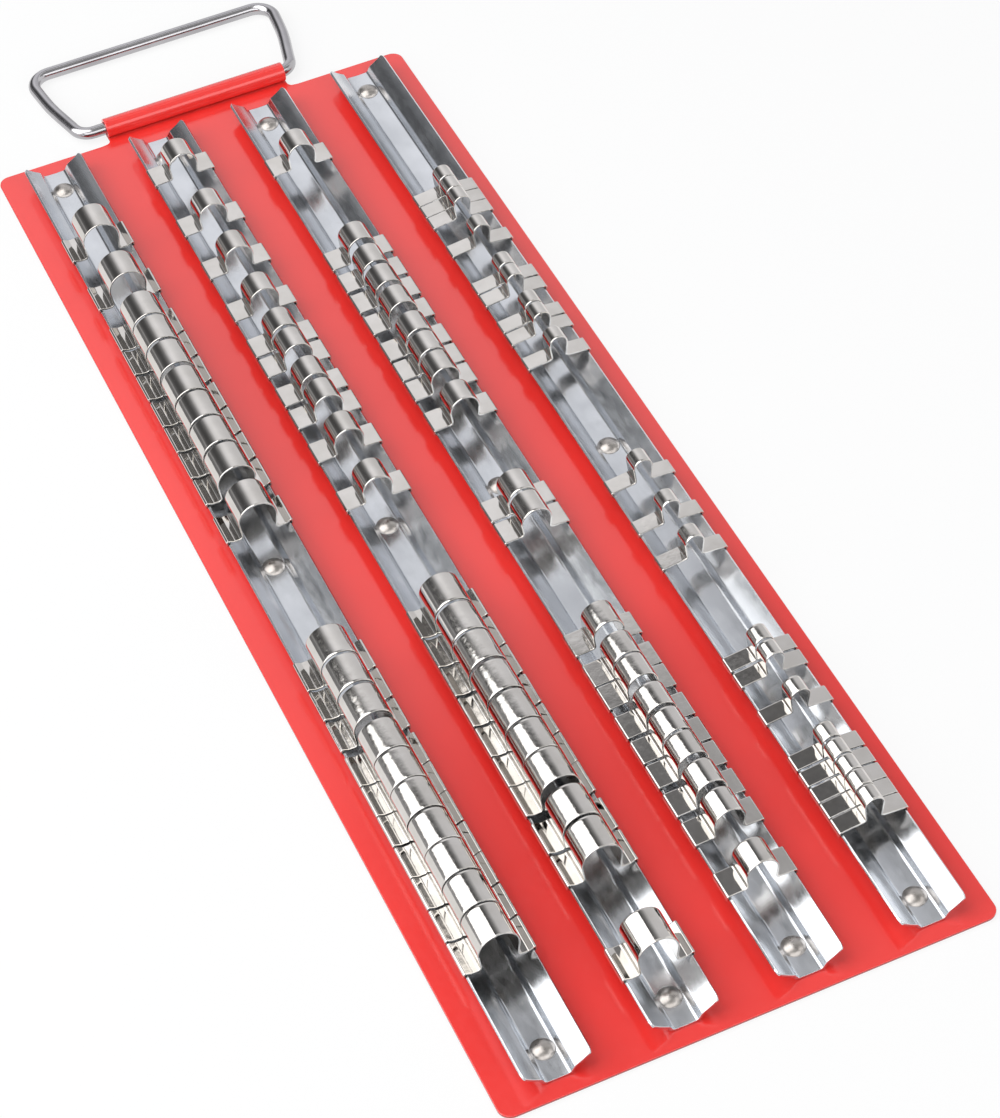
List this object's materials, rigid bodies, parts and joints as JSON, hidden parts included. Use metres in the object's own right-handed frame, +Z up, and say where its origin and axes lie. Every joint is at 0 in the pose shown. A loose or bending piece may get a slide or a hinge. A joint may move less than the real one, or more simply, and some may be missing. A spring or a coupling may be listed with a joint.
{
  "type": "socket rail tray",
  "caption": "Flat painted steel tray with channel rails riveted along it. Spring clips slide on the rails to hold ratchet sockets, and a wire carry handle turns in a rolled tongue at one end.",
  "frame": {"origin": "centre of the plate's underside, with the tongue left out", "axes": "+Y along the rails, towards the handle; +X across the rails, towards the narrowest clips; +Z up, away from the surface the tray lies on"},
  "size_m": [0.1736, 0.5402, 0.0238],
  "materials": {
    "red_paint": "gloss",
    "rail_zinc": "bright zinc",
    "rivet_nickel": "satin",
    "clip_nickel": "bright nickel",
    "handle_wire": "bright"
  },
  "bodies": {
    "tray": {"tray_plate": "red_paint", "rail_1": "rail_zinc", "rail_2": "rail_zinc", "rail_3": "rail_zinc", "rail_4": "rail_zinc", "rivets_1": "rivet_nickel", "rivets_2": "rivet_nickel", "rivets_3": "rivet_nickel", "rivets_4": "rivet_nickel"},
    "carry_handle": {"carry_handle": "handle_wire"},
    "half_inch_clips_1a": {"half_inch_clips_1a": "clip_nickel"},
    "half_inch_clip_1b": {"half_inch_clip_1b": "clip_nickel"},
    "half_inch_clips_1c": {"half_inch_clips_1c": "clip_nickel"},
    "half_inch_clip_1d": {"half_inch_clip_1d": "clip_nickel"},
    "half_inch_clip_1e": {"half_inch_clip_1e": "clip_nickel"},
    "half_inch_clip_2a": {"half_inch_clip_2a": "clip_nickel"},
    "half_inch_clips_2b": {"half_inch_clips_2b": "clip_nickel"},
    "three_eighth_clip_2c": {"three_eighth_clip_2c": "clip_nickel"},
    "three_eighth_clip_2d": {"three_eighth_clip_2d": "clip_nickel"},
    "three_eighth_clips_2e": {"three_eighth_clips_2e": "clip_nickel"},
    "three_eighth_clips_2f": {"three_eighth_clips_2f": "clip_nickel"},
    "three_eighth_clip_2g": {"three_eighth_clip_2g": "clip_nickel"},
    "three_eighth_clip_2h": {"three_eighth_clip_2h": "clip_nickel"},
    "three_eighth_clip_2i": {"three_eighth_clip_2i": "clip_nickel"},
    "three_eighth_clip_2j": {"three_eighth_clip_2j": "clip_nickel"},
    "three_eighth_clip_3a": {"three_eighth_clip_3a": "clip_nickel"},
    "three_eighth_clips_3b": {"three_eighth_clips_3b": "clip_nickel"},
    "three_eighth_clip_3c": {"three_eighth_clip_3c": "clip_nickel"},
    "three_eighth_clips_3d": {"three_eighth_clips_3d": "clip_nickel"},
    "three_eighth_clip_3e": {"three_eighth_clip_3e": "clip_nickel"},
    "three_eighth_clips_3f": {"three_eighth_clips_3f": "clip_nickel"},
    "three_eighth_clips_3g": {"three_eighth_clips_3g": "clip_nickel"},
    "three_eighth_clip_3h": {"three_eighth_clip_3h": "clip_nickel"},
    "quarter_inch_clips_4a": {"quarter_inch_clips_4a": "clip_nickel"},
    "quarter_inch_clip_4b": {"quarter_inch_clip_4b": "clip_nickel"},
    "quarter_inch_clips_4c": {"quarter_inch_clips_4c": "clip_nickel"},
    "quarter_inch_clip_4d": {"quarter_inch_clip_4d": "clip_nickel"},
    "quarter_inch_clip_4e": {"quarter_inch_clip_4e": "clip_nickel"},
    "quarter_inch_clip_4f": {"quarter_inch_clip_4f": "clip_nickel"},
    "quarter_inch_clip_4g": {"quarter_inch_clip_4g": "clip_nickel"},
    "quarter_inch_clips_4h": {"quarter_inch_clips_4h": "clip_nickel"},
    "quarter_inch_clips_4i": {"quarter_inch_clips_4i": "clip_nickel"},
    "quarter_inch_clip_4j": {"quarter_inch_clip_4j": "clip_nickel"},
    "quarter_inch_clips_4k": {"quarter_inch_clips_4k": "clip_nickel"}
  },
  "joints": [
    {"name": "handle_hinge", "type": "hinge", "parent": "tray", "child": "carry_handle", "pos_m": [0, 0.2495, 0.004], "axis": [1, 0, 0], "range_deg": [0, 140]},
    {"name": "slide_1a", "type": "slide", "parent": "tray", "child": "half_inch_clips_1a", "axis": [0, 1, 0], "range_m": [-0.0418, 0.0312]},
    {"name": "slide_1b", "type": "slide", "parent": "tray", "child": "half_inch_clip_1b", "axis": [0, 1, 0], "range_m": [-0.0312, 0.0035]},
    {"name": "slide_1c", "type": "slide", "parent": "tray", "child": "half_inch_clips_1c", "axis": [0, 1, 0], "range_m": [-0.0035, 0.0057]},
    {"name": "slide_1d", "type": "slide", "parent": "tray", "child": "half_inch_clip_1d", "axis": [0, 1, 0], "range_m": [-0.0057, 0.0082]},
    {"name": "slide_1e", "type": "slide", "parent": "tray", "child": "half_inch_clip_1e", "axis": [0, 1, 0], "range_m": [-0.0082, 0.0477]},
    {"name": "slide_2a", "type": "slide", "parent": "tray", "child": "half_inch_clip_2a", "axis": [0, 1, 0], "range_m": [-0.0181, 0.0134]},
    {"name": "slide_2b", "type": "slide", "parent": "tray", "child": "half_inch_clips_2b", "axis": [0, 1, 0], "range_m": [-0.0134, 0.0265]},
    {"name": "slide_2c", "type": "slide", "parent": "tray", "child": "three_eighth_clip_2c", "axis": [0, 1, 0], "range_m": [-0.0265, 0.008]},
    {"name": "slide_2d", "type": "slide", "parent": "tray", "child": "three_eighth_clip_2d", "axis": [0, 1, 0], "range_m": [-0.008, 0.0043]},
    {"name": "slide_2e", "type": "slide", "parent": "tray", "child": "three_eighth_clips_2e", "axis": [0, 1, 0], "range_m": [-0.0043, 0.0032]},
    {"name": "slide_2f", "type": "slide", "parent": "tray", "child": "three_eighth_clips_2f", "axis": [0, 1, 0], "range_m": [-0.0032, 0.0055]},
    {"name": "slide_2g", "type": "slide", "parent": "tray", "child": "three_eighth_clip_2g", "axis": [0, 1, 0], "range_m": [-0.0055, 0.0079]},
    {"name": "slide_2h", "type": "slide", "parent": "tray", "child": "three_eighth_clip_2h", "axis": [0, 1, 0], "range_m": [-0.0079, 0.0083]},
    {"name": "slide_2i", "type": "slide", "parent": "tray", "child": "three_eighth_clip_2i", "axis": [0, 1, 0], "range_m": [-0.0083, 0.0113]},
    {"name": "slide_2j", "type": "slide", "parent": "tray", "child": "three_eighth_clip_2j", "axis": [0, 1, 0], "range_m": [-0.0113, 0.0241]},
    {"name": "slide_3a", "type": "slide", "parent": "tray", "child": "three_eighth_clip_3a", "axis": [0, 1, 0], "range_m": [-0.032, 0.0061]},
    {"name": "slide_3b", "type": "slide", "parent": "tray", "child": "three_eighth_clips_3b", "axis": [0, 1, 0], "range_m": [-0.0061, 0.0023]},
    {"name": "slide_3c", "type": "slide", "parent": "tray", "child": "three_eighth_clip_3c", "axis": [0, 1, 0], "range_m": [-0.0023, 0.0237]},
    {"name": "slide_3d", "type": "slide", "parent": "tray", "child": "three_eighth_clips_3d", "axis": [0, 1, 0], "range_m": [-0.0237, 0.0198]},
    {"name": "slide_3e", "type": "slide", "parent": "tray", "child": "three_eighth_clip_3e", "axis": [0, 1, 0], "range_m": [-0.0198, 0.0035]},
    {"name": "slide_3f", "type": "slide", "parent": "tray", "child": "three_eighth_clips_3f", "axis": [0, 1, 0], "range_m": [-0.0035, 0.0027]},
    {"name": "slide_3g", "type": "slide", "parent": "tray", "child": "three_eighth_clips_3g", "axis": [0, 1, 0], "range_m": [-0.0027, 0.0252]},
    {"name": "slide_3h", "type": "slide", "parent": "tray", "child": "three_eighth_clip_3h", "axis": [0, 1, 0], "range_m": [-0.0252, 0.0404]},
    {"name": "slide_4a", "type": "slide", "parent": "tray", "child": "quarter_inch_clips_4a", "axis": [0, 1, 0], "range_m": [-0.0385, 0.0074]},
    {"name": "slide_4b", "type": "slide", "parent": "tray", "child": "quarter_inch_clip_4b", "axis": [0, 1, 0], "range_m": [-0.0074, 0.0055]},
    {"name": "slide_4c", "type": "slide", "parent": "tray", "child": "quarter_inch_clips_4c", "axis": [0, 1, 0], "range_m": [-0.0055, 0.0224]},
    {"name": "slide_4d", "type": "slide", "parent": "tray", "child": "quarter_inch_clip_4d", "axis": [0, 1, 0], "range_m": [-0.0224, 0.0058]},
    {"name": "slide_4e", "type": "slide", "parent": "tray", "child": "quarter_inch_clip_4e", "axis": [0, 1, 0], "range_m": [-0.0058, 0.0076]},
    {"name": "slide_4f", "type": "slide", "parent": "tray", "child": "quarter_inch_clip_4f", "axis": [0, 1, 0], "range_m": [-0.0076, 0.0317]},
    {"name": "slide_4g", "type": "slide", "parent": "tray", "child": "quarter_inch_clip_4g", "axis": [0, 1, 0], "range_m": [-0.0317, 0.0038]},
    {"name": "slide_4h", "type": "slide", "parent": "tray", "child": "quarter_inch_clips_4h", "axis": [0, 1, 0], "range_m": [-0.0038, 0.0046]},
    {"name": "slide_4i", "type": "slide", "parent": "tray", "child": "quarter_inch_clips_4i", "axis": [0, 1, 0], "range_m": [-0.0046, 0.0083]},
    {"name": "slide_4j", "type": "slide", "parent": "tray", "child": "quarter_inch_clip_4j", "axis": [0, 1, 0], "range_m": [-0.0083, 0.0056]},
    {"name": "slide_4k", "type": "slide", "parent": "tray", "child": "quarter_inch_clips_4k", "axis": [0, 1, 0], "range_m": [-0.0056, 0.0868]}
  ]
}
